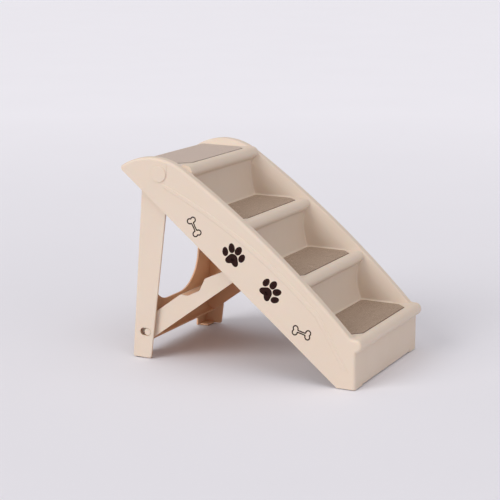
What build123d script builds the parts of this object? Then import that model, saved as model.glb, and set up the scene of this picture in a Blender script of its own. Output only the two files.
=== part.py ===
from build123d import *
from math import atan2, cos, degrees, hypot, pi, radians, sin, sqrt
import os

# Folding four step pet stairs.
# Millimetres, Z up, the lowest step faces -Y and the stairs climb towards +Y.
# The origin is on the floor, under the middle of the whole object.
# Side views are drawn as (y, z), with y measured back from the front face of the lowest step.

os.makedirs("parts", exist_ok=True)

# Whole stair
stair_width = 400
rear_reach = 630
nosing_reach = 14
wall = 4
overrun = 60

# Steps
step_count = 4
step_rise = 124
step_run = 152
first_tread_height = 123
nosing_radius = 15.5
nosing_under_angle = 253
tread_back = 140
riser_bulge = 12
platform_depth = 150
pocket_half_width = 163
rim_flare = 15
rim_flare_depth = 26
crease_radius = 5
riser_top_round = 8
riser_foot_round = 6

# Side panel outline
foot_length = 47
foot_lift = 2
rim_start_y = 13
rim_end_y = 455
rim_end_height = 486
rim_sagitta = 16
tip_height = 485
tip_blunt = 6
tip_round = 2.5
rim_start_round = 14
neck_round = 7
rim_round = 7
pocket_rim_round = 4
rim_edge_break = 0.15
front_gap_height = 12
front_foot_width = 46

# Raised bead on the side panel
bead_start = (515, 447)
bead_middle = (304, 333)
bead_bend = (98, 168)
bead_end = (22, 40)
bead_width = 8

# Leg hinge
hinge_y = 521
hinge_height = 473
hinge_pin_radius = 10
hinge_gap = 0.3
hinge_side_gap = 0.5
pin_head_radius = 20
pin_head_thickness = 1.8
pin_barb = 1.5
pin_barb_length = 3
hinge_boss_radius = 18
tongue_relief = 0.8
tongue_radius = 21.5

# Leg frame
leg_half_width = 189
leg_foot_rear_y = 608
leg_foot_depth = 52
leg_foot_round = 6
leg_hub_radius = 24
leg_top_y = 573
leg_top_height = 477.5
leg_edge_round = 2
leg_corner_round = 4
hub_inner_x = 176
opening_half_width = 119
opening_bottom = 120
opening_top = 398
opening_round = 88
leg_arch_half_width = 138
leg_arch_height = 32
leg_arch_round = 18
leg_foot_width = 42
leg_sole_depth = 33
hub_boss_radius = 16

# Brace
brace_pivot_y = 566
brace_pivot_height = 69
brace_angle = 36.5
brace_half_width = 176
brace_top = 31
brace_bottom = 18.5
brace_arm_length = 307
brace_web_length = 238
brace_tip_top = 9
brace_lip = 10
grip_start = 132
grip_floor_start = 148
grip_floor_high = 17.5
grip_floor_end = 184
grip_floor_low = 11
grip_end = 216
grip_end_height = 28
grip_round = 9
brace_tip_round = 8
trunnion_radius = 8.6
trunnion_slot_radius = 10
trunnion_slot_throw = 11
trunnion_end_x = 188
catch_pin_radius = 4.5
catch_pin_along = 299
catch_pin_up = 4
catch_pin_end_x = 183.5

# Cradles that the brace arms rest in
cradle_inner_x = 178
cradle_thickness = 4
cradle_gap = 0.4
cradle_ledge = 4
cradle_depth = 34
cradle_lean = 16
cradle_root_height = 92

# Ribs
rib_thickness = 3
rib_depth = 10
rib_count = 5
rib_spacing = 62
rear_skirt = 18
stop_rib_gap = 0.8

# Mats
mat_thickness = 2
mat_recess = 1.6
mat_gap = 1
mat_front_y = 9
mat_depth = 126
mat_half_width = 158
mat_front_chamfer = 24
mat_back_round = 13
top_mat_depth = 134

# Foot pads
pad_inset = 4
pad_round = 5

overall_length = rear_reach + nosing_reach
front_face_y = nosing_reach - overall_length / 2
half_width = stair_width / 2
panel_inner_x = half_width - wall
tread_heights = [first_tread_height + step_rise * i for i in range(step_count)]
tread_starts = [step_run * i for i in range(step_count)]
platform_height = tread_heights[-1]
platform_front_y = tread_starts[-1]
platform_rear_y = platform_front_y + platform_depth
nosing_centre_y = nosing_radius - nosing_reach


def side_plane(x=0):
    """Plane whose first axis runs back from the front face and whose second axis is height."""
    return Plane(origin=(x, front_face_y, 0), x_dir=(0, 1, 0), z_dir=(1, 0, 0))


def arc_centre(start, end, sagitta):
    """Centre and radius of the upward arc between two side view points."""
    chord = hypot(end[0] - start[0], end[1] - start[1])
    radius = (chord ** 2 / 4 + sagitta ** 2) / (2 * sagitta)
    across = ((start[1] - end[1]) / chord, (end[0] - start[0]) / chord)
    drop = radius - sagitta
    middle = ((start[0] + end[0]) / 2, (start[1] + end[1]) / 2)
    return (middle[0] - across[0] * drop, middle[1] - across[1] * drop), radius


# Rim curve: one long arc up the slope, then a tangent arc over the hump above the platform
rim_start = (rim_start_y, first_tread_height)
rim_end = (rim_end_y, rim_end_height)
rim_tip = (rear_reach, tip_height)
rim_centre, rim_radius = arc_centre(rim_start, rim_end, rim_sagitta)
to_end = ((rim_end[0] - rim_centre[0]) / rim_radius, (rim_end[1] - rim_centre[1]) / rim_radius)
rim_middle_angle = (
    atan2(rim_start[1] - rim_centre[1], rim_start[0] - rim_centre[0])
    + atan2(rim_end[1] - rim_centre[1], rim_end[0] - rim_centre[0])
) / 2
rim_middle = (
    rim_centre[0] + rim_radius * cos(rim_middle_angle),
    rim_centre[1] + rim_radius * sin(rim_middle_angle),
)
tip_offset = (rim_tip[0] - rim_end[0], rim_tip[1] - rim_end[1])
hump_radius = -(tip_offset[0] ** 2 + tip_offset[1] ** 2) / (
    2 * (tip_offset[0] * to_end[0] + tip_offset[1] * to_end[1])
)
hump_centre = (rim_end[0] - to_end[0] * hump_radius, rim_end[1] - to_end[1] * hump_radius)
print("rim radius", round(rim_radius), "hump radius", round(hump_radius, 1))
print("overall height", round(hump_centre[1] + hump_radius, 1))


def panel_outline(drop=0):
    """Side view of the whole stair body. A drop lowers the slanted lower edge and leaves the foot."""
    neck = (0, first_tread_height - nosing_radius - sqrt(nosing_radius ** 2 - nosing_centre_y ** 2))
    lobe_front = (-nosing_reach, first_tread_height - nosing_radius)
    lobe_top = (nosing_centre_y, first_tread_height)
    hump_top = (hump_centre[0], hump_centre[1] + hump_radius)
    with BuildSketch() as view:
        with BuildLine():
            Polyline((foot_length, foot_lift), (0, foot_lift), neck)
            ThreePointArc(neck, lobe_front, lobe_top)
            Line(lobe_top, rim_start)
            ThreePointArc(rim_start, rim_middle, rim_end)
            ThreePointArc(rim_end, hump_top, rim_tip)
            Line(rim_tip, (rear_reach, tip_height - tip_blunt - drop))
            Line((rear_reach, tip_height - tip_blunt - drop), (foot_length, foot_lift - drop))
            if drop:
                Line((foot_length, foot_lift - drop), (foot_length, foot_lift))
        make_face()
        fillet(view.vertices().sort_by_distance(rim_start)[0], rim_start_round)
        fillet(view.vertices().sort_by_distance(neck)[0], neck_round)
        fillet(view.vertices().sort_by_distance(rim_tip)[0], tip_round)
    return view.sketch


def nosing_point(step, angle, grow=0):
    """Side view point on the rolled front edge of one tread."""
    centre = (nosing_centre_y + tread_starts[step], tread_heights[step] - nosing_radius)
    radius = nosing_radius - grow
    return centre[0] + radius * cos(radians(angle)), centre[1] + radius * sin(radians(angle))


def open_space_outline(grow=0):
    """Side view of the free space above the steps, from the first tread to behind the platform."""
    sky = hump_centre[1] + hump_radius + overrun
    below = platform_height - 2 * overrun
    rear = platform_rear_y - grow
    steps = zip(tread_starts, tread_heights)
    feet = [(tread_back + start + grow / 2, height - grow) for start, height in steps]
    under_angle = nosing_under_angle + degrees(grow / nosing_radius)
    unders = [nosing_point(i, under_angle, grow) for i in range(step_count)]
    with BuildSketch() as view:
        with BuildLine():
            Line((-overrun, first_tread_height - grow), feet[0])
            for i in range(1, step_count):
                deepest_y = tread_back + tread_starts[i - 1] + riser_bulge + grow
                deepest = (deepest_y, (feet[i - 1][1] + unders[i][1]) / 2)
                ThreePointArc(feet[i - 1], deepest, unders[i])
                ThreePointArc(unders[i], nosing_point(i, 180, grow), nosing_point(i, 90, grow))
                if i < step_count - 1:
                    Line(nosing_point(i, 90, grow), feet[i])
            Polyline(
                nosing_point(step_count - 1, 90, grow),
                (rear, platform_height - grow),
                (rear, below),
                (rear_reach + overrun, below),
                (rear_reach + overrun, sky),
                (-overrun, sky),
                (-overrun, first_tread_height - grow),
            )
        make_face()
        if not grow:
            for foot in feet[:-1]:
                fillet(view.vertices().sort_by_distance(foot)[0], riser_foot_round)
            for under in unders[1:]:
                fillet(view.vertices().sort_by_distance(under)[0], riser_top_round)
            fillet(view.vertices().sort_by_distance((rear, platform_height))[0], riser_foot_round)
    return view.sketch


def rim_band_space(grow=0):
    """Space between the flared tops of the pocket walls, turned about the centres of both rim arcs."""
    flare_slope = rim_flare / rim_flare_depth
    widen = grow * sqrt(1 + flare_slope ** 2)
    depth = rim_flare_depth + (widen - grow) / flare_slope
    slope_length = hypot(rim_end[0] - rim_start[0], rim_end[1] - rim_start[1])
    slope_span = degrees((slope_length + overrun) / rim_radius)
    hump_span = degrees((hypot(*tip_offset) + overrun) / hump_radius)
    with BuildPart() as band:
        for centre, radius, turn, span in (
            (rim_centre, rim_radius, 1, slope_span),
            (hump_centre, hump_radius, -1, hump_span),
        ):
            outward = (rim_end[0] - centre[0], rim_end[1] - centre[1])
            section_plane = Plane(
                origin=(0, front_face_y + centre[0], centre[1]),
                x_dir=(1, 0, 0),
                z_dir=(0, -outward[1], outward[0]),
            )
            low = radius - depth
            high = radius + overrun
            edge = radius + rim_edge_break
            low_half = pocket_half_width + grow
            edge_half = low_half + flare_slope * (edge - low)
            high_half = edge_half + pocket_rim_round
            with BuildSketch(section_plane) as section:
                with BuildLine():
                    Polyline((0, low), (low_half, low), (edge_half, edge), (high_half, edge))
                    Polyline((high_half, edge), (high_half, high), (0, high))
                    mirror(about=Plane.YZ)
                make_face()
                fillet(section.vertices().group_by(Axis.Y)[1].sort_by(Axis.X)[1:3], pocket_rim_round)
            revolve(axis=Axis((0, front_face_y + centre[0], centre[1]), (turn, 0, 0)), revolution_arc=span)
    return band.part


def pocket_space(grow=0):
    """Everything that is open above the steps. Grown by the wall it bounds the hollow underside."""
    with BuildPart() as flared:
        with BuildSketch(side_plane()):
            add(open_space_outline(grow))
        extrude(amount=stair_width, both=True)
        add(rim_band_space(grow), mode=Mode.INTERSECT)
    with BuildPart() as space:
        with BuildSketch(side_plane()):
            add(open_space_outline(grow))
        extrude(amount=pocket_half_width + grow, both=True)
        if not grow:
            sides = space.faces().filter_by(Axis.X)
            step_edges = sides.edges().filter_by(lambda e: (
                e.center().Z < platform_height + rim_edge_break
                and e.center().Y > front_face_y - overrun
                and e.center().Y < front_face_y + platform_rear_y + rim_edge_break
            ))
            fillet(step_edges, crease_radius)
        add(flared.part)
    return space.part


def mat_outline(step, grow=0):
    """Plan of one tread mat, front corners cut and back corners rounded."""
    depth = top_mat_depth if step == step_count - 1 else mat_depth
    front = front_face_y + tread_starts[step] + mat_front_y
    with BuildSketch() as plan:
        with Locations((0, front + depth / 2)):
            Rectangle(2 * mat_half_width, depth)
        chamfer(plan.vertices().group_by(Axis.Y)[0], mat_front_chamfer)
        fillet(plan.vertices().group_by(Axis.Y)[-1], mat_back_round)
        if grow:
            offset(amount=grow, kind=Kind.INTERSECTION)
    return plan.sketch


def leg_outline():
    """Side view of the leg frame: a round hub that tapers down to a wide foot."""
    with BuildSketch() as view:
        with Locations((hinge_y, hinge_height)):
            Circle(leg_hub_radius)
        with Locations((leg_foot_rear_y - leg_foot_depth + leg_foot_round, foot_lift + leg_foot_round)):
            Circle(leg_foot_round)
        with Locations((leg_foot_rear_y - leg_corner_round, foot_lift + leg_corner_round)):
            Circle(leg_corner_round)
        with Locations((leg_top_y - leg_corner_round, leg_top_height - leg_corner_round)):
            Circle(leg_corner_round)
        make_hull()
    return view.sketch


def brace_outline(bottom, arm):
    """Side view of the brace along its own slope, with the dip where a hand lifts it."""
    hinge_back = -sqrt(brace_top ** 2 - bottom ** 2)
    with BuildSketch() as view:
        with BuildLine():
            hinge_middle = (-brace_top * cos(radians(30)), brace_top * sin(radians(30)))
            ThreePointArc((0, brace_top), hinge_middle, (hinge_back, -bottom))
            Line((hinge_back, -bottom), (arm - brace_tip_top, -bottom))
            Line((arm - brace_tip_top, -bottom), (arm, brace_tip_top))
            Polyline(
                (arm, brace_tip_top),
                (grip_end, grip_end_height),
                (grip_floor_end, grip_floor_low),
                (grip_floor_start, grip_floor_high),
                (grip_start, brace_top),
                (0, brace_top),
            )
        make_face()
        fillet(view.vertices().filter_by(lambda v: grip_start - wall < v.X < grip_end + wall), grip_round)
        fillet(view.vertices().sort_by(Axis.X)[-1], brace_tip_round)
    return view.sketch


# Hollow underside, with the ribs, cradles and stops left standing in it
leg_pivot = (hinge_y, hinge_height)
brace_turn = radians(brace_angle)
catch_y = brace_pivot_y - catch_pin_along * cos(brace_turn) + catch_pin_up * sin(brace_turn)
catch_height = brace_pivot_height + catch_pin_along * sin(brace_turn) + catch_pin_up * cos(brace_turn)
catch_reach = catch_pin_radius + cradle_gap
with BuildPart() as hollow:
    with BuildSketch(side_plane()):
        add(panel_outline(drop=overrun))
        offset(amount=-wall, kind=Kind.INTERSECTION)
    extrude(amount=panel_inner_x, both=True)
    add(pocket_space(wall), mode=Mode.SUBTRACT)
    # Open back below the platform
    open_back_top = platform_height - rear_skirt
    with Locations((0, front_face_y + platform_rear_y, open_back_top - overrun)):
        Box(2 * pocket_half_width, 4 * wall, 2 * overrun)
    # Ribs under every tread
    for start, height in zip(tread_starts, tread_heights):
        rib_length = nosing_reach + tread_back + wall
        with Locations((0, front_face_y + start - nosing_reach + rib_length / 2, height - wall)):
            with GridLocations(rib_spacing, rib_spacing, rib_count, 1):
                Box(rib_thickness, rib_length, 2 * rib_depth, mode=Mode.SUBTRACT)
    # Stop that the top of the leg frame meets when it stands
    stop_bottom = leg_top_height + stop_rib_gap
    with Locations((0, front_face_y + leg_top_y - wall, (stop_bottom + platform_height) / 2)):
        Box(2 * pocket_half_width, wall, platform_height - stop_bottom, mode=Mode.SUBTRACT)
    # Cradles for the catch pins
    for side in (1, -1):
        with BuildSketch(side_plane(side * (cradle_inner_x + cradle_thickness / 2))):
            with BuildLine():
                rear = catch_y - catch_reach
                Polyline(
                    (rear, catch_height - catch_reach),
                    (rear - cradle_lean, catch_height + cradle_root_height),
                    (rear - cradle_lean, catch_height + cradle_root_height + overrun),
                    (rear - cradle_depth, catch_height + cradle_root_height + overrun),
                    (rear - cradle_depth, catch_height - catch_reach - cradle_ledge),
                    (catch_y + catch_pin_radius, catch_height - catch_reach - cradle_ledge),
                    (catch_y + catch_pin_radius, catch_height - catch_reach),
                    close=True,
                )
            make_face()
        extrude(amount=cradle_thickness / 2, both=True, mode=Mode.SUBTRACT)
    # Boss rings round the leg hinge
    boss_length = panel_inner_x - leg_half_width - hinge_side_gap
    for side in (1, -1):
        with BuildSketch(side_plane(side * (panel_inner_x - boss_length / 2))):
            with Locations(leg_pivot):
                Circle(hinge_boss_radius)
        extrude(amount=boss_length / 2, both=True, mode=Mode.SUBTRACT)

# Stair body
with BuildPart() as stair_body:
    with BuildSketch(side_plane()):
        add(panel_outline())
    extrude(amount=half_width, both=True)
    lower_faces = stair_body.faces().filter_by(GeomType.PLANE).filter_by(
        lambda f: f.normal_at().Z < -rim_edge_break
    )
    side_edges = stair_body.faces().filter_by(Axis.X).edges()
    fillet(side_edges - lower_faces.edges(), rim_round)
    # The nosing of the platform stands a little above the rim
    with BuildSketch(side_plane()):
        with Locations((nosing_centre_y + platform_front_y, platform_height - nosing_radius)):
            Circle(nosing_radius)
        with BuildLine():
            Polyline(
                (nosing_centre_y + platform_front_y, platform_height),
                (nosing_centre_y + platform_front_y + 2 * nosing_radius, platform_height),
                (nosing_centre_y + platform_front_y, platform_height - 2 * nosing_radius),
                close=True,
            )
        make_face()
    extrude(amount=pocket_half_width + rim_flare, both=True)
    add(pocket_space(), mode=Mode.SUBTRACT)
    add(hollow.part, mode=Mode.SUBTRACT)
    # Shallow seats for the mats
    for step in range(step_count):
        with BuildSketch(Plane.XY.offset(tread_heights[step])):
            add(mat_outline(step, mat_gap))
        extrude(amount=-mat_recess, mode=Mode.SUBTRACT)
    # Gap between the two front feet
    with Locations((0, front_face_y, 0)):
        Box(2 * (half_width - front_foot_width), 2 * overrun, 2 * front_gap_height, mode=Mode.SUBTRACT)
    # Raised tongue round the leg hinge and raised bead along the panel
    for side in (1, -1):
        with BuildSketch(side_plane(side * half_width)):
            with Locations(leg_pivot, (hinge_y, hinge_height + tongue_radius)):
                Circle(tongue_radius)
            make_hull()
            with BuildLine():
                ThreePointArc(bead_start, bead_middle, bead_bend)
                Line(bead_bend, bead_end)
            trace(line_width=bead_width)
            with BuildSketch(mode=Mode.INTERSECT):
                add(panel_outline())
                offset(amount=-rim_round)
        extrude(amount=side * tongue_relief)
    # Holes for the hinge pins
    with BuildSketch(side_plane(-stair_width)):
        with Locations(leg_pivot):
            Circle(hinge_pin_radius)
    extrude(amount=2 * stair_width, mode=Mode.SUBTRACT)
stair_body.part.label = "stair_body"
print("stair body valid", stair_body.part.is_valid)
export_step(stair_body.part, "parts/stair_body.step")

# Tread mats
for step in range(step_count):
    with BuildPart() as tread_mat:
        with BuildSketch(Plane.XY.offset(tread_heights[step] - mat_recess)):
            add(mat_outline(step))
        extrude(amount=mat_thickness)
    tread_mat.part.label = "tread_mat_" + str(step + 1)
    export_step(tread_mat.part, "parts/tread_mat_" + str(step + 1) + ".step")

# Leg frame
with BuildPart() as leg_frame:
    # Side plates
    with BuildSketch(side_plane()):
        add(leg_outline())
    extrude(amount=leg_half_width, both=True)
    rear_corners = leg_frame.faces().filter_by(Axis.X).edges().filter_by(GeomType.LINE).group_by(Axis.Y)[-1]
    fillet(rear_corners, leg_edge_round)
    with BuildSketch(side_plane()):
        with BuildLine():
            Polyline(
                (leg_top_y - wall, leg_top_height + overrun),
                (leg_top_y - wall, leg_top_height),
                (leg_foot_rear_y - wall, foot_lift),
                (leg_foot_rear_y - wall, foot_lift - overrun),
                (hinge_y - overrun, foot_lift - overrun),
                (hinge_y - overrun, leg_top_height + overrun),
                close=True,
            )
        make_face()
    extrude(amount=leg_half_width - wall, both=True, mode=Mode.SUBTRACT)
    # Soles
    for side in (1, -1):
        sole_middle = leg_half_width - leg_edge_round - (leg_foot_width - leg_edge_round) / 2
        sole_y = front_face_y + leg_foot_rear_y - leg_sole_depth / 2
        with Locations((side * sole_middle, sole_y, foot_lift)):
            Box(
                leg_foot_width - leg_edge_round,
                leg_sole_depth - 2 * leg_edge_round,
                wall,
                align=(Align.CENTER, Align.CENTER, Align.MIN),
            )
    # Large opening and the arch between the feet
    with BuildSketch(Plane.XZ.offset(-front_face_y - leg_foot_rear_y - overrun)):
        with Locations((0, (opening_bottom + opening_top) / 2)):
            RectangleRounded(2 * opening_half_width, opening_top - opening_bottom, opening_round)
        RectangleRounded(2 * leg_arch_half_width, 2 * leg_arch_height, leg_arch_round)
    extrude(amount=4 * overrun, mode=Mode.SUBTRACT)
    # Hinge hubs
    for side in (1, -1):
        with BuildSketch(side_plane(side * hub_inner_x)):
            with Locations(leg_pivot):
                Circle(hub_boss_radius)
        extrude(amount=side * (leg_half_width - hub_inner_x))
    with BuildSketch(side_plane(-stair_width)):
        with Locations(leg_pivot):
            Circle(hinge_pin_radius + hinge_gap)
        with Locations((brace_pivot_y + trunnion_slot_throw / 2, brace_pivot_height)):
            SlotCenterToCenter(trunnion_slot_throw, 2 * trunnion_slot_radius)
    extrude(amount=2 * stair_width, mode=Mode.SUBTRACT)
leg_frame.part.label = "leg_frame"
export_step(leg_frame.part, "parts/leg_frame.step")

# Brace, drawn along its own slope from the trunnion
brace_plane = Plane(
    origin=(0, front_face_y + brace_pivot_y, brace_pivot_height),
    x_dir=(0, -cos(brace_turn), sin(brace_turn)),
    z_dir=(-1, 0, 0),
)
with BuildPart() as brace:
    with BuildSketch(brace_plane):
        add(brace_outline(brace_bottom, brace_arm_length))
    extrude(amount=brace_half_width, both=True)
    # Hollow tray under the web
    with BuildSketch(brace_plane):
        add(brace_outline(brace_bottom, brace_arm_length))
        offset(amount=-wall, kind=Kind.INTERSECTION)
        with Locations((wall - sqrt(brace_top ** 2 - brace_bottom ** 2), -overrun)):
            Rectangle(brace_arm_length, overrun, align=Align.MIN)
    extrude(amount=brace_half_width - wall, both=True, mode=Mode.SUBTRACT)
    # Open fork beyond the web
    with BuildSketch(brace_plane):
        with Locations((brace_web_length, -overrun)):
            Rectangle(brace_arm_length, 2 * overrun, align=Align.MIN)
    extrude(amount=brace_half_width - wall, both=True, mode=Mode.SUBTRACT)
    # Lip along the free edge of the web
    lip_top = grip_end_height - wall
    with BuildSketch(brace_plane):
        with Locations((brace_web_length - wall, lip_top - brace_lip)):
            Rectangle(wall, brace_lip, align=Align.MIN)
    extrude(amount=brace_half_width - wall, both=True)
    # Trunnions and catch pins
    for side in (1, -1):
        with BuildSketch(brace_plane.offset(side * (brace_half_width - wall))):
            Circle(trunnion_radius)
        extrude(amount=side * (trunnion_end_x - brace_half_width + wall))
        with BuildSketch(brace_plane.offset(side * (brace_half_width - wall))):
            with Locations((catch_pin_along, catch_pin_up)):
                Circle(catch_pin_radius)
        extrude(amount=side * (catch_pin_end_x - brace_half_width + wall))
brace.part.label = "brace"
print("brace", brace.part.is_valid, len(brace.part.solids()))
export_step(brace.part, "parts/brace.step")

# Hinge pins
for side, name in ((1, "right"), (-1, "left")):
    head_seat = half_width + tongue_relief
    barb_start = hub_inner_x - hinge_gap
    pin_plane = Plane(
        origin=(0, front_face_y + hinge_y, hinge_height), x_dir=(0, 1, 0), z_dir=(side, 0, 0)
    )
    with BuildPart() as hinge_pin:
        with BuildSketch(pin_plane.offset(barb_start - pin_barb_length)):
            Circle(hinge_pin_radius)
        extrude(amount=head_seat - barb_start + pin_barb_length)
        with BuildSketch(pin_plane.offset(head_seat)):
            Circle(pin_head_radius)
        extrude(amount=pin_head_thickness)
        fillet(hinge_pin.faces().sort_by(Axis.X)[-1 if side > 0 else 0].edges(), pin_head_thickness / 2)
        with BuildSketch(pin_plane.offset(barb_start)):
            Circle(hinge_pin_radius + pin_barb)
        extrude(amount=-pin_barb_length, taper=atan2(pin_barb, pin_barb_length) * 180 / pi)
    hinge_pin.part.label = "hinge_pin_" + name
    export_step(hinge_pin.part, "parts/hinge_pin_" + name + ".step")

# Foot pads
front_pad = (
    half_width - front_foot_width / 2,
    front_face_y + foot_length / 2,
    front_foot_width - 2 * pad_inset,
    foot_length - 2 * pad_inset,
)
rear_pad = (
    leg_half_width - leg_foot_width / 2,
    front_face_y + leg_foot_rear_y - leg_sole_depth / 2,
    leg_foot_width - 2 * pad_inset,
    leg_sole_depth - 2 * pad_inset,
)
for place, pad in (("front", front_pad), ("rear", rear_pad)):
    for side, name in ((1, "right"), (-1, "left")):
        with BuildPart() as foot_pad:
            with BuildSketch():
                with Locations((side * pad[0], pad[1])):
                    RectangleRounded(pad[2], pad[3], pad_round)
            extrude(amount=foot_lift)
        foot_pad.part.label = "foot_pad_" + place + "_" + name
        export_step(foot_pad.part, "parts/foot_pad_" + place + "_" + name + ".step")
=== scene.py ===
import bpy
import numpy as np
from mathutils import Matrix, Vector


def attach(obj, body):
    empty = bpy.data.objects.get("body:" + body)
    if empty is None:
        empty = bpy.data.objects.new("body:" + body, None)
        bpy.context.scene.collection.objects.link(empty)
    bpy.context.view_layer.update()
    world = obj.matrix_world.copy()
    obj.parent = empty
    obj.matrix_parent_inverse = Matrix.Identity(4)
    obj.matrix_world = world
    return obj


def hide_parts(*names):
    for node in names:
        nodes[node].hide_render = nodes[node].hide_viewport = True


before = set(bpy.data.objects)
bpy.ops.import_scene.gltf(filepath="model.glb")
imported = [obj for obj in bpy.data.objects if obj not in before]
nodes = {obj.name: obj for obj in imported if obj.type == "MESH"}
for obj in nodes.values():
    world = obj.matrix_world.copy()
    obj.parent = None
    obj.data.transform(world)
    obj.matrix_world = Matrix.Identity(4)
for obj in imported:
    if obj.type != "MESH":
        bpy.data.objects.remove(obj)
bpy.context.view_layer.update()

# Places on the object, in metres
PANEL_HALF = 0.2
FRONT_Y = -0.308
TREAD_HEIGHTS = [0.123, 0.247, 0.371, 0.495]
TREAD_RUN = 0.152
LEG_INNER_HALF = 0.187
BRACE_INNER_HALF = 0.174

# Rim of the step pockets, an arc between two places (y back from the front face, height), and the flare under it,
# whose tilt is in radians
RIM_START = (0.013, 0.123)
RIM_END = (0.455, 0.486)
RIM_SAGITTA = 0.016
FLARE_TILT = 0.5236
FLARE_DEPTH = 0.026
FLARE_FADE = 0.060
FLARE_HALF_SLANT = 0.58
POCKET_WALL = (0.158, 0.1795)
WALL_END = 0.003

# A mask goes from none to full over one metre divided by these
PAINTED_SHADE_MASK = 900.0
WALL_MASK = 400.0
END_MASK = 100.0

# Colours as they look in plain light, red green blue from 0 to 255, apart from the painted light and painted shade
# marked below
BEIGE = (228, 211, 194)
BEIGE_WARM = (222, 203, 183)
BEIGE_GLOW = (1.0, 0.38, 0.16)
FELT_LIGHT = (185, 163, 143)
FELT_DARK = (125, 101, 84)
FELT_EDGE = (88, 60, 46)
# Painted light: the paler tone laid on the top mat, which sits in fuller light than those in the pockets
FELT_PAINTED_LIGHT = (223, 211, 210)
FELT_SHEEN = (255, 232, 208)
# Painted shade: the warm brown of light bounced about in the shaded insides of the legs and brace
PAINTED_SHADE_WARM = (232, 178, 134)
INK = (34, 14, 11)
RUBBER = (58, 54, 52)
# Floor tones: darker near the object as painted half shade, paler far out
FLOOR_NEAR_PAINTED_SHADE = (232, 230, 235)
FLOOR_FAR = (248, 246, 251)
SKY = (236, 234, 238)
# How much of the painted warm shade is laid over the plastic's own tone
PAINTED_SHADE_SHARE = 0.85


def linear(colour, share=1.0):
    """A written colour as linear light: each channel c becomes ((c + 0.055) / 1.055) to the power 2.4."""
    c = np.array(colour, float) / 255
    c = np.where(c <= 0.04045, c / 12.92, ((c + 0.055) / 1.055) ** 2.4) * share
    return (float(c[0]), float(c[1]), float(c[2]), 1.0)


class Wire:
    """One socket among a finish's nodes. Arithmetic on wires adds Math nodes, and node() adds any other node."""

    def __init__(self, tree, socket=None):
        self.tree = tree
        self.socket = socket

    def node(self, kind, settings, sockets, out=0):
        """A node of that kind. Its settings are made first, then each socket gets its value or its wire."""
        made = self.tree.nodes.new("ShaderNode" + kind)
        for key, value in settings.items():
            setattr(made, key, value)
        for key, value in sockets.items():
            if isinstance(value, Wire):
                self.tree.links.new(value.socket, made.inputs[key])
            else:
                made.inputs[key].default_value = value
        return Wire(self.tree, made.outputs[out])

    def maths(self, operation, *values):
        """This wire worked on by a Math node, with the other values as its further inputs."""
        return self.node("Math", {"operation": operation}, dict(enumerate((self, *values))))

    def __add__(self, other):
        return self.maths("ADD", other)

    def __mul__(self, other):
        return self.maths("MULTIPLY", other)

    def __sub__(self, other):
        return self.maths("SUBTRACT", other)

    def __rsub__(self, other):
        return self * -1.0 + other

    def limited(self):
        """This wire held between 0 and 1."""
        return self.node("Math", {"operation": "ADD", "use_clamp": True}, {0: self, 1: 0.0})

    __radd__ = __add__
    __rmul__ = __mul__


def finish(name, build, **constants):
    """A material whose nodes build() lays down. It gives the sockets that vary, and constants sit on the shader."""
    material = bpy.data.materials.new(name)
    material.use_nodes = True
    tree = material.node_tree
    shader = tree.nodes["Principled BSDF"]
    start = Wire(tree)
    place = start.node("TexCoord", {}, {}, "Object")
    for key, value in build(place).items():
        tree.links.new(value.socket, shader.inputs[key])
    for key, value in constants.items():
        shader.inputs[key.replace("_", " ")].default_value = value
    return material


def stretched(place, x, y, z):
    """Coordinates multiplied along each axis, so that a pattern runs longer one way."""
    return place.node("Mapping", {}, {"Vector": place, "Scale": (x, y, z)})


def noise(place, scale, detail=2.0, roughness=0.5):
    """Smooth random value from 0 to 1 whose grain is about 1 / scale metres."""
    sockets = {"Vector": place, "Scale": scale, "Detail": detail, "Roughness": roughness}
    return place.node("TexNoise", {}, sockets, "Fac")


def blended(place, first, second, factor):
    """Colour that goes from the first to the second as the factor goes from 0 to 1."""
    return place.node("Mix", {"data_type": "RGBA"}, {0: factor, 6: first, 7: second}, 2)


def bumped(height, distance, **sockets):
    """Surface direction tilted by the slope of a height, whose full range is distance metres."""
    return height.node("Bump", {}, {"Height": height, "Distance": distance, **sockets})


def flared(place, direction):
    """Surface direction on the pocket walls, eased across the fold under the rim. With d the depth below the rim's
    arc, the wanted tilt is FLARE_TILT * (1 - d / FLARE_FADE), and the mesh has FLARE_TILT down to FLARE_DEPTH and
    none below. The height is the sum over d of what is missing. FLARE_HALF_SLANT is half of one over the tilt's
    cosine, because d runs slower along the tilted face. Only faces that look inward within POCKET_WALL count."""
    start, end = np.array(RIM_START), np.array(RIM_END)
    chord = np.hypot(*(end - start))
    radius = (chord ** 2 / 4 + RIM_SAGITTA ** 2) / (2 * RIM_SAGITTA)
    outward = np.array([start[1] - end[1], end[0] - start[0]]) / chord
    centre = (start + end) / 2 - outward * (radius - RIM_SAGITTA)
    x, y, z = (place.node("SeparateXYZ", {}, {0: place}, axis) for axis in "XYZ")
    facing = place.node("SeparateXYZ", {}, {0: place.node("TexCoord", {}, {}, "Normal")}, "X")
    back, up = y - float(FRONT_Y + centre[0]), z - float(centre[1])
    depth = float(radius) - (back * back + up * up).maths("SQRT")
    low = depth.maths("MAXIMUM", FLARE_DEPTH).maths("MINIMUM", FLARE_FADE)
    high = depth.maths("MAXIMUM", 0.0).maths("MINIMUM", FLARE_DEPTH)
    height = low - low * low * (0.5 / FLARE_FADE) - high * high * (FLARE_HALF_SLANT / FLARE_FADE)
    inward = (x.maths("SIGN") * facing * -2.0 - 0.6).limited()
    half = x.maths("ABSOLUTE")
    on_wall = ((half - POCKET_WALL[0]) * WALL_MASK).limited() * ((POCKET_WALL[1] - half) * WALL_MASK).limited()
    before_end = ((FRONT_Y + RIM_END[0] - WALL_END - y) * END_MASK).limited()
    return bumped(height * FLARE_TILT, 1.0, Normal=direction, Strength=inward * on_wall * before_end)


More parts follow.
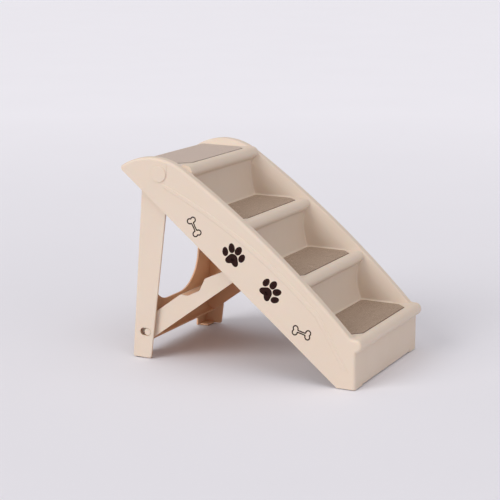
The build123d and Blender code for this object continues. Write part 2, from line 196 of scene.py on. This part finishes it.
def moulded(first, second, inner_half=0.0, flare=False):
    """Satin moulded plastic: a slow drift between two beiges, a fine spark texture and faint sink marks. Faces
    nearer the middle than inner_half, apart from those that look back, get painted shade: a warm brown that stands
    for light bounced about in the shaded insides. With flare, the pocket walls are eased too."""

    def build(place):
        drift = noise(place, 7.0, 3.0)
        streak = noise(stretched(place, 30.0, 4.0, 12.0), 1.0, 3.0)
        spark = noise(place, 950.0, 2.0, 0.6)
        sink = noise(place, 38.0, 1.0)
        shade = drift * 0.6 + streak * 0.4
        tone = blended(place, linear(first), linear(second), shade)
        # Painted shade: inner faces take a warm brown that stands for bounced light in the shaded insides
        if inner_half:
            across = place.node("SeparateXYZ", {}, {0: place}, "X").maths("ABSOLUTE")
            facing = place.node("TexCoord", {}, {}, "Normal")
            looks = place.node("SeparateXYZ", {}, {0: facing}, "Y")
            inside = ((inner_half - across) * PAINTED_SHADE_MASK).limited() * (1.0 - (looks * 4.0).limited())
            tone = blended(place, tone, linear(PAINTED_SHADE_WARM), inside * PAINTED_SHADE_SHARE)
        direction = bumped(spark * 0.12 + sink, 0.00035)
        return {
            "Base Color": tone,
            "Roughness": 0.40 + spark * 0.14 + drift * 0.08,
            "Normal": flared(place, direction) if flare else direction,
        }

    return build


def felted(place):
    """Needled felt: short fibres that run mostly across, in lighter and darker tones, and a nap a fibre deep. A
    paler tone is laid on as painted light where a mat asks for it, and the colour darkens near the outline.
    """
    across = noise(stretched(place, 130.0, 620.0, 300.0), 1.0, 4.0, 0.7)
    along = noise(stretched(place, 620.0, 210.0, 300.0), 1.0, 3.0, 0.65)
    clump = noise(stretched(place, 60.0, 230.0, 100.0), 1.0, 2.0)
    tuft = noise(place, 1500.0, 2.0, 0.7)
    edge = place.node("Attribute", {"attribute_name": "edge"}, {}, "Fac")
    painted_light = place.node("Attribute", {"attribute_name": "painted_light"}, {}, "Fac")
    fibre = across * 0.6 + along * 0.25 + tuft * 0.15
    shade = ((fibre - 0.30) * 2.2).limited() * 0.6 + ((clump - 0.2) * 1.6).limited() * 0.4
    pile = blended(place, linear(FELT_DARK), linear(FELT_LIGHT), shade)
    # Painted light: a paler tone, as much as the mat's attribute asks, for the top mat in fuller light
    pile = blended(place, pile, linear(FELT_PAINTED_LIGHT), painted_light)
    return {
        "Base Color": blended(place, pile, linear(FELT_EDGE), edge),
        "Roughness": 0.86 + clump * 0.12,
        "Normal": bumped(fibre + clump * 0.4, 0.0009),
    }


def inked(place):
    """Printed ink film: almost even, with a light mottle and a fine grain from the surface under it."""
    mottle = noise(place, 260.0, 3.0)
    grain = noise(place, 1100.0, 2.0)
    return {
        "Base Color": blended(place, linear(INK), linear(INK, 1.9), mottle),
        "Roughness": 0.55 + grain * 0.18,
        "Normal": bumped(grain, 0.00006),
    }


def rubbery(place):
    """Soft rubber: matt dark grey with dust caught in a fine pebble."""
    pebble = noise(place, 700.0, 3.0, 0.6)
    dust = noise(place, 60.0, 3.0)
    return {
        "Base Color": blended(place, linear(RUBBER), linear(RUBBER, 1.8), dust * 0.6 + pebble * 0.3),
        "Roughness": 0.72 + pebble * 0.2,
        "Normal": bumped(pebble, 0.00025),
    }


# Light that enters the plastic and comes out a little further on, red furthest
GLOW = {"Subsurface_Weight": 0.14, "Subsurface_Radius": BEIGE_GLOW, "Subsurface_Scale": 0.003}
beige_plastic = finish("beige_moulded_plastic", moulded(BEIGE, BEIGE_WARM), **GLOW)
body_plastic = finish("beige_body_plastic", moulded(BEIGE, BEIGE_WARM, flare=True), **GLOW)
leg_plastic = finish("beige_leg_plastic", moulded(BEIGE, BEIGE_WARM, LEG_INNER_HALF), **GLOW)
brace_plastic = finish("beige_brace_plastic", moulded(BEIGE, BEIGE_WARM, BRACE_INNER_HALF), **GLOW)
felt = finish(
    "brown_needled_felt",
    felted,
    Sheen_Weight=0.8,
    Sheen_Roughness=0.3,
    Sheen_Tint=linear(FELT_SHEEN),
)
ink = finish("dark_brown_ink", inked, Specular_IOR_Level=0.12)
rubber = finish("dark_rubber", rubbery)


def dress(obj, material):
    """Gives an object one finish in place of those it has."""
    obj.data.materials.clear()
    obj.data.materials.append(material)


OWN_FINISH = {"stair_body": body_plastic, "leg_frame": leg_plastic, "brace": brace_plastic}
for name, obj in nodes.items():
    dress(obj, rubber if name.startswith("foot_pad") else OWN_FINISH.get(name, beige_plastic))


def add_piece(name, points, faces, material, body):
    """A smooth mesh with its place in its points, that rides on a body."""
    mesh = bpy.data.meshes.new(name)
    mesh.from_pydata(points, [], faces)
    mesh.polygons.foreach_set("use_smooth", np.ones(len(mesh.polygons), bool))
    mesh.update()
    obj = bpy.data.objects.new(name, mesh)
    bpy.context.scene.collection.objects.link(obj)
    dress(obj, material)
    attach(obj, body)
    return obj


def grid_faces(index):
    """Four sided faces between the neighbours of a grid of point numbers."""
    corners = index[:-1, :-1], index[1:, :-1], index[1:, 1:], index[:-1, 1:]
    return np.stack([c.ravel() for c in corners], axis=1)


# Tread mats
MAT_HALF = 0.158
MAT_FRONT = 0.009
MAT_DEPTHS = [0.126, 0.126, 0.126, 0.134]
MAT_THICKNESS = 0.0024
MAT_SINK = 0.0016
MAT_CHAMFER = 0.024
MAT_ROUND = 0.013
MAT_GRID = (121, 61)
MAT_EDGE_ROUND = 0.0022
MAT_DARK_EDGE = 0.0018
# Share of painted light on each mat: only the top one, which sits in fuller light
MAT_PAINTED_LIGHT = [0.0, 0.0, 0.0, 0.42]
RIPPLES = 18
RIPPLE_LENGTHS = (0.008, 0.05)
RIPPLE_STEEPNESS = 0.0011


def mat_surface(step):
    """Closed felt mat: its points, its faces and how far each point is darkened near the outline. A plan grid runs
    to the outline, whose half width narrows along the cut front corners and the round back corners. Each point's
    height over the middle layer is half the thickness times the quarter circle of its distance from the outline, and
    the upper layer adds ripples, a sum of seeded plane waves."""
    rng = np.random.default_rng(40 + step)
    depth = MAT_DEPTHS[step]
    u = -np.cos(np.linspace(0, np.pi, MAT_GRID[0]))[:, None]
    v = 0.5 - 0.5 * np.cos(np.linspace(0, np.pi, MAT_GRID[1]))[None, :]
    from_front = v * depth
    from_back = depth - from_front
    cut = np.maximum(0, MAT_CHAMFER - from_front)
    turn = np.clip(MAT_ROUND - from_back, 0, MAT_ROUND)
    half = MAT_HALF - cut - MAT_ROUND + np.sqrt(np.maximum(MAT_ROUND ** 2 - turn ** 2, 0))
    half = np.maximum(half, MAT_HALF - MAT_ROUND - cut)
    x = u * half
    y = FRONT_Y + TREAD_RUN * step + MAT_FRONT + from_front + 0 * u
    inside = np.minimum(np.minimum(half - np.abs(x), from_front + 0 * u), from_back + 0 * u)
    edge = np.clip(inside / MAT_EDGE_ROUND, 0, 1)
    swell = np.sqrt(1 - (1 - edge) ** 2)
    ripple = 0 * x
    for _ in range(RIPPLES):
        way = rng.uniform(0, 2 * np.pi)
        length = rng.uniform(*RIPPLE_LENGTHS)
        wave = (x * np.cos(way) + y * np.sin(way)) * 2 * np.pi / length + rng.uniform(0, 2 * np.pi)
        ripple = ripple + np.sin(wave) * length * RIPPLE_STEEPNESS
    ripple *= edge
    middle = TREAD_HEIGHTS[step] - MAT_SINK + MAT_THICKNESS / 2
    upper = np.stack([x, y, middle + swell * MAT_THICKNESS / 2 + ripple], axis=-1)
    lower = np.stack([x, y, middle - swell * MAT_THICKNESS / 2], axis=-1)
    across, back = x.shape
    top = np.arange(across * back).reshape(across, back)
    under = top.copy()
    under[1:-1, 1:-1] = across * back + np.arange((across - 2) * (back - 2)).reshape(across - 2, back - 2)
    points = np.concatenate([upper.reshape(-1, 3), lower[1:-1, 1:-1].reshape(-1, 3)])
    faces = np.concatenate([grid_faces(top), grid_faces(under)[:, ::-1]])
    # How much darker each point is near the outline: full at the outline, none a couple of millimetres in
    edge_darkening = np.clip(1.25 - inside / MAT_DARK_EDGE, 0, 1)
    return points, faces, np.concatenate([edge_darkening.ravel(), edge_darkening[1:-1, 1:-1].ravel()])


for step in range(4):
    points, faces, edge_darkening = mat_surface(step)
    mat = add_piece(f"felt_mat_{step + 1}", points.tolist(), faces.tolist(), felt, "stairs")
    painted_light = np.full(len(edge_darkening), MAT_PAINTED_LIGHT[step])
    for key, values in (("edge", edge_darkening), ("painted_light", painted_light)):
        mat.data.attributes.new(key, "FLOAT", "POINT").data.foreach_set("value", values.astype(np.float32))
    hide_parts(f"tread_mat_{step + 1}")


# Blade shaped bead on each side panel. Its places are (y back from the front face, height), in metres
BEAD_ARC = [(0.515, 0.447), (0.304, 0.333), (0.098, 0.168)]
BEAD_END = (0.022, 0.040)
BEAD_RELIEF = 0.0014
BEAD_SINK = 0.00005
BEAD_HALF_END = 0.0050
BEAD_HALF_GAIN = 0.0018
BEAD_STEPS = 240
BEAD_ACROSS = 17
BEAD_END_POWER = 60


def bead_path(count):
    """Middle line of the bead: the circle through three places, then a straight run, at even steps."""
    arc = np.array(BEAD_ARC)
    steps = 2 * (arc[1:] - arc[0])
    centre = np.linalg.solve(steps, (arc[1:] ** 2).sum(axis=1) - (arc[0] ** 2).sum())
    first, last = (np.arctan2(*(place - centre)[::-1]) for place in (arc[0], arc[2]))
    t = np.linspace(first, last, 200)
    round_part = centre + np.hypot(*(arc[0] - centre)) * np.stack([np.cos(t), np.sin(t)], axis=1)
    path = np.concatenate([round_part, [BEAD_END]])
    run = np.concatenate([[0], np.cumsum(np.hypot(*np.diff(path, axis=0).T))])
    even = np.linspace(0, run[-1], count)
    return np.interp(even, run, path[:, 0]), np.interp(even, run, path[:, 1])


def bead_surface(side):
    """Raised band along the bead's line, whose rim lies BEAD_SINK inside the panel. Its half width grows by a cosine
    from the ends to the middle and closes at each end. Its height is the relief times one minus the sixth power of
    the share across, times one minus the share along to the power BEAD_END_POWER."""
    back, height = bead_path(BEAD_STEPS)
    share = np.linspace(-1, 1, BEAD_STEPS)
    d_back, d_height = np.gradient(back), np.gradient(height)
    size = np.hypot(d_back, d_height)
    closing = 1 - np.abs(share) ** BEAD_END_POWER
    half = (BEAD_HALF_END + BEAD_HALF_GAIN * np.cos(share * np.pi / 2)) * np.sqrt(closing)
    across = np.linspace(-1, 1, BEAD_ACROSS)[:, None]
    lift = BEAD_RELIEF * (1 - across ** 6) * closing - BEAD_SINK
    y = FRONT_Y + back + across * half * d_height / size
    z = height - across * half * d_back / size
    points = np.stack([side * (PANEL_HALF + lift), y + 0 * lift, z + 0 * lift], axis=-1)
    faces = grid_faces(np.arange(points.shape[0] * points.shape[1]).reshape(points.shape[:2]))
    return points.reshape(-1, 3), faces if side < 0 else faces[:, ::-1]


for side, name in ((-1, "left"), (1, "right")):
    points, faces = bead_surface(side)
    add_piece(f"rail_bead_{name}", points.tolist(), faces.tolist(), beige_plastic, "stairs")


# Sill that brings the front wall's lower edge down near the floor
SILL_HALF = 0.1585
SILL_TOP = 0.016
SILL_BOTTOM = 0.0045
SILL_THICK = 0.0038
SILL_ALONG = 41
SILL_AROUND = 48
SILL_END_POWER = 400


def sill_surface():
    """Closed bar with a rounded section, a squared off ellipse of the sixth power. It shrinks to a point at its
    ends by the sixth root of one minus the share along to the power SILL_END_POWER."""
    t = np.linspace(0, 2 * np.pi, SILL_AROUND, endpoint=False)
    round_off = 1 / (np.cos(t) ** 6 + np.sin(t) ** 6) ** (1 / 6)
    along = np.linspace(-1, 1, SILL_ALONG)[:, None]
    shrink = (1 - np.abs(along) ** SILL_END_POWER) ** (1 / 6)
    shrink[[0, -1]] = 0
    y = FRONT_Y + SILL_THICK / 2 + shrink * round_off * np.cos(t) * SILL_THICK / 2
    z = (SILL_TOP + SILL_BOTTOM) / 2 + shrink * round_off * np.sin(t) * (SILL_TOP - SILL_BOTTOM) / 2
    points = np.stack([along * SILL_HALF + 0 * y, y, z], axis=-1)
    index = np.arange(SILL_ALONG * SILL_AROUND).reshape(SILL_ALONG, SILL_AROUND)
    return points.reshape(-1, 3), grid_faces(np.concatenate([index, index[:, :1]], axis=1))


points, faces = sill_surface()
add_piece("front_sill", points.tolist(), faces.tolist(), beige_plastic, "stairs")


# Prints on the side panel. Their places are (y back from the front face, height), in metres
INK_THICKNESS = 0.0003
INK_SINK = 0.00004
INK_RINGS = [1, 0.985, 0.95, 0.8, 0.5, 0.2]
LINE_ACROSS = 7
OVAL_STEPS = 48
HEEL_STEPS = 96
HEEL_ANGLES = [0, 45, 90, 127, 180]
HEEL_RADII = [0.0159, 0.0152, 0.0168, 0.0196, 0.0090]
BONE_REACH = 0.0335
BONE_LOBE = 0.0064
BONE_SPREAD = 0.0053
BONE_SHAFT = 0.0030
BONE_PINCH = 0.25
BONE_LINE = 0.0034
BONE_STEPS = 200


def on_panel(back, height, proud):
    """Side view places laid on the outside of the panel."""
    return np.stack([-PANEL_HALF - proud + 0 * back, FRONT_Y + back, height], axis=-1)


def filled_print(back, height):
    """Disc of ink inside a closed outline. Rings run from the outline to its middle, and the film's thickness
    falls to nothing at the outline as one minus the sixth power of the ring. The rim lies INK_SINK in the panel."""
    rings = np.array(INK_RINGS)[:, None]
    mid_back, mid_height = back.mean(), height.mean()
    film = INK_THICKNESS * (1 - rings ** 6) - INK_SINK
    shell = on_panel(mid_back + rings * (back - mid_back), mid_height + rings * (height - mid_height), film)
    pole = on_panel(np.array([mid_back]), np.array([mid_height]), np.array([INK_THICKNESS - INK_SINK]))
    count = len(back)
    index = np.arange(len(rings) * count).reshape(len(rings), count)
    index = np.concatenate([index, index[:, :1]], axis=1)
    fan = np.stack([index[-1, :-1], index[-1, 1:], np.full(count, len(rings) * count)], axis=1)
    return np.concatenate([shell.reshape(-1, 3), pole]), grid_faces(index).tolist() + fan.tolist()


def line_print(back, height, width):
    """Band of ink along a closed outline. Across the line the film's thickness is a half circle."""
    d_back = np.roll(back, -1) - np.roll(back, 1)
    d_height = np.roll(height, -1) - np.roll(height, 1)
    size = np.hypot(d_back, d_height)
    across = np.linspace(-1, 1, LINE_ACROSS)[:, None]
    film = INK_THICKNESS * np.sqrt(np.maximum(1 - across ** 2, 0)) - INK_SINK
    shift = across * width / 2
    shell = on_panel(back + shift * d_height / size, height - shift * d_back / size, film)
    index = np.arange(LINE_ACROSS * len(back)).reshape(LINE_ACROSS, len(back))
    index = np.concatenate([index, index[:, :1]], axis=1)
    return shell.reshape(-1, 3), grid_faces(index).tolist()


def turned(along, across, middle, heading):
    """Outline laid round a middle point, its own axis turned to a heading in degrees up from straight back."""
    turn = np.radians(heading)
    back = middle[0] + along * np.cos(turn) - across * np.sin(turn)
    return back, middle[1] + along * np.sin(turn) + across * np.cos(turn)


def oval(length, width, middle, heading):
    """Ellipse, a little narrower at its leading end."""
    t = np.linspace(0, 2 * np.pi, OVAL_STEPS, endpoint=False)
    return turned(length / 2 * np.cos(t), width / 2 * np.sin(t) * (1 - 0.08 * np.cos(t)), middle, heading)


def heel_pad(middle, heading):
    """Pad of a paw: round in front, two lobes behind with a notch between. Its radius is a sum of cosines of
    up to four times the angle that meets the given radii ahead, at each side, at the lobes and at the notch."""
    waves = np.arange(len(HEEL_RADII))
    weights = np.linalg.solve(np.cos(np.radians(HEEL_ANGLES)[:, None] * waves), np.array(HEEL_RADII))
    t = np.linspace(0, 2 * np.pi, HEEL_STEPS, endpoint=False)
    radius = np.cos(t[:, None] * waves) @ weights
    return turned(radius * np.cos(t), radius * np.sin(t), middle, heading)


def bone_outline(middle, heading):
    """Bone seen flat: at each end two round lobes, spread apart, joined by a shaft. Each lobe is an arc from
    where its circle meets the shaft to where it meets the other lobe. The shaft is pinched at its middle by
    BONE_PINCH, as the square of one minus the squared share of the way out, and a running mean eases the corners."""
    first = np.pi + np.arcsin((BONE_SPREAD - BONE_SHAFT) / BONE_LOBE)
    last = -np.arcsin(BONE_SPREAD / BONE_LOBE * 0.98)
    t = np.linspace(first, last, 40)
    along = BONE_REACH / 2 + BONE_LOBE * np.cos(t)
    across = BONE_SPREAD + BONE_LOBE * np.sin(t)
    along = np.concatenate([along, along[::-1], -along, -along[::-1]])
    across = np.concatenate([across, -across[::-1], -across, across[::-1]])
    step = np.hypot(np.diff(along, append=along[0]), np.diff(across, append=across[0]))
    run = np.concatenate([[0], np.cumsum(step)])
    even = np.linspace(0, run[-1], BONE_STEPS, endpoint=False)
    along = np.interp(even, run, np.append(along, along[0]))
    across = np.interp(even, run, np.append(across, across[0]))
    across *= 1 - BONE_PINCH * np.maximum(0, 1 - (2 * along / BONE_REACH) ** 2) ** 2
    for _ in range(3):
        along = (np.roll(along, 1) + along + np.roll(along, -1)) / 3
        across = (np.roll(across, 1) + across + np.roll(across, -1)) / 3
    return turned(along, across, middle, heading)


def joined(parts):
    """Several point and face lists as one."""
    points, faces, start = [], [], 0
    for some_points, some_faces in parts:
        points.append(some_points)
        faces += [[corner + start for corner in face] for face in some_faces]
        start += len(some_points)
    return np.concatenate(points), faces


# Toes are (length, width). A paw is its pad, then its toes, each with its place and its heading in degrees
OUTER_TOE = (0.0233, 0.0162)
INNER_TOE = (0.0246, 0.0174)
PAWS = [
    (
        (0.3208, 0.2806, 111),
        [
            (OUTER_TOE, 0.3397, 0.2996, 87),
            (INNER_TOE, 0.3225, 0.3094, 87),
            (INNER_TOE, 0.3044, 0.3039, 127),
            (OUTER_TOE, 0.2956, 0.2867, 126),
        ],
    ),
    (
        (0.2307, 0.2092, 145),
        [
            (OUTER_TOE, 0.2306, 0.2355, 132),
            (INNER_TOE, 0.2118, 0.2308, 132),
            (INNER_TOE, 0.2023, 0.2143, 168),
            (OUTER_TOE, 0.2079, 0.1952, 168),
        ],
    ),
]
BONES = [(0.424, 0.3515, 63), (0.138, 0.124, 14)]

for i, (pad, toes) in enumerate(PAWS):
    parts = [filled_print(*heel_pad(pad[:2], pad[2]))]
    for (length, width), back, height, heading in toes:
        parts.append(filled_print(*oval(length, width, (back, height), heading)))
    points, faces = joined(parts)
    add_piece(f"paw_print_{i + 1}", points.tolist(), faces, ink, "stairs")

for i, (back, height, heading) in enumerate(BONES):
    points, faces = line_print(*bone_outline((back, height), heading), BONE_LINE)
    add_piece(f"bone_print_{i + 1}", points.tolist(), faces, ink, "stairs")


# Floor, light and camera
FLOOR_RADIUS = 40
FLOOR_CORNERS = 96
CAMERA_PLACE = (-3.2023, -1.5609, 1.0521)
CAMERA_TURN = 26.95
CAMERA_DOWN = 12.43
CAMERA_LENS = 105.09


def floor_tone(place):
    """Pale floor with painted shade: a little darker near the object, where its half shade falls, paler far out, and
    the faintest unevenness.
    """
    far = place.node("VectorMath", {"operation": "LENGTH"}, {0: place}, "Value")
    shade = ((far - 0.9) * 0.25).limited() * 0.85 + noise(place, 1.5, 2.0) * 0.15
    return {
        "Base Color": blended(place, linear(FLOOR_NEAR_PAINTED_SHADE), linear(FLOOR_FAR), shade),
        "Roughness": 0.75 + noise(place, 8.0) * 0.1,
    }


def make_floor():
    """Round floor far wider than the view."""
    t = np.linspace(0, 2 * np.pi, FLOOR_CORNERS, endpoint=False)
    points = np.stack([FLOOR_RADIUS * np.cos(t), FLOOR_RADIUS * np.sin(t), 0 * t], axis=1)
    mesh = bpy.data.meshes.new("floor")
    mesh.from_pydata(points.tolist(), [], [list(range(FLOOR_CORNERS))])
    floor = bpy.data.objects.new("floor", mesh)
    bpy.context.scene.collection.objects.link(floor)
    dress(floor, finish("pale_floor", floor_tone))


def make_sun(name, travels, energy, softness):
    """Soft light that travels along a direction, as wide as softness in degrees."""
    lamp = bpy.data.lights.new(name, "SUN")
    lamp.energy = energy
    lamp.angle = np.radians(softness)
    obj = bpy.data.objects.new(name, lamp)
    obj.rotation_euler = Vector(travels).to_track_quat("-Z", "Y").to_euler()
    bpy.context.scene.collection.objects.link(obj)


def make_world(strength, tone):
    """Even light from all round, and the same pale tone where the camera, gloss or glass sees past the floor."""
    world = bpy.data.worlds.new("studio")
    world.use_nodes = True
    bpy.context.scene.world = world
    tree = world.node_tree
    back = tree.nodes["Background"]
    rays = Wire(tree).node("LightPath", {}, {}, "Is Camera Ray")
    back.inputs["Color"].default_value = linear(tone)
    tree.links.new((rays * (1 - strength) + strength).socket, back.inputs["Strength"])


make_floor()
make_sun("key", (0.80, -0.45, -0.53), 1.46, 36)
make_sun("fill", (0.45, 0.75, -0.60), 0.42, 60)
make_sun("top", (0.05, 0.15, -1.0), 0.66, 60)
make_world(0.48, SKY)

camera = bpy.data.objects.new("camera", bpy.data.cameras.new("camera"))
camera.data.sensor_width = 36
camera.data.lens = CAMERA_LENS
camera.data.clip_end = 200
camera.location = CAMERA_PLACE
turn, down = np.radians(CAMERA_TURN), np.radians(CAMERA_DOWN)
look = Vector((np.cos(turn) * np.cos(down), np.sin(turn) * np.cos(down), -np.sin(down)))
camera.rotation_euler = look.to_track_quat("-Z", "Y").to_euler()
bpy.context.scene.collection.objects.link(camera)
bpy.context.scene.camera = camera
bpy.context.scene.view_settings.view_transform = "Standard"
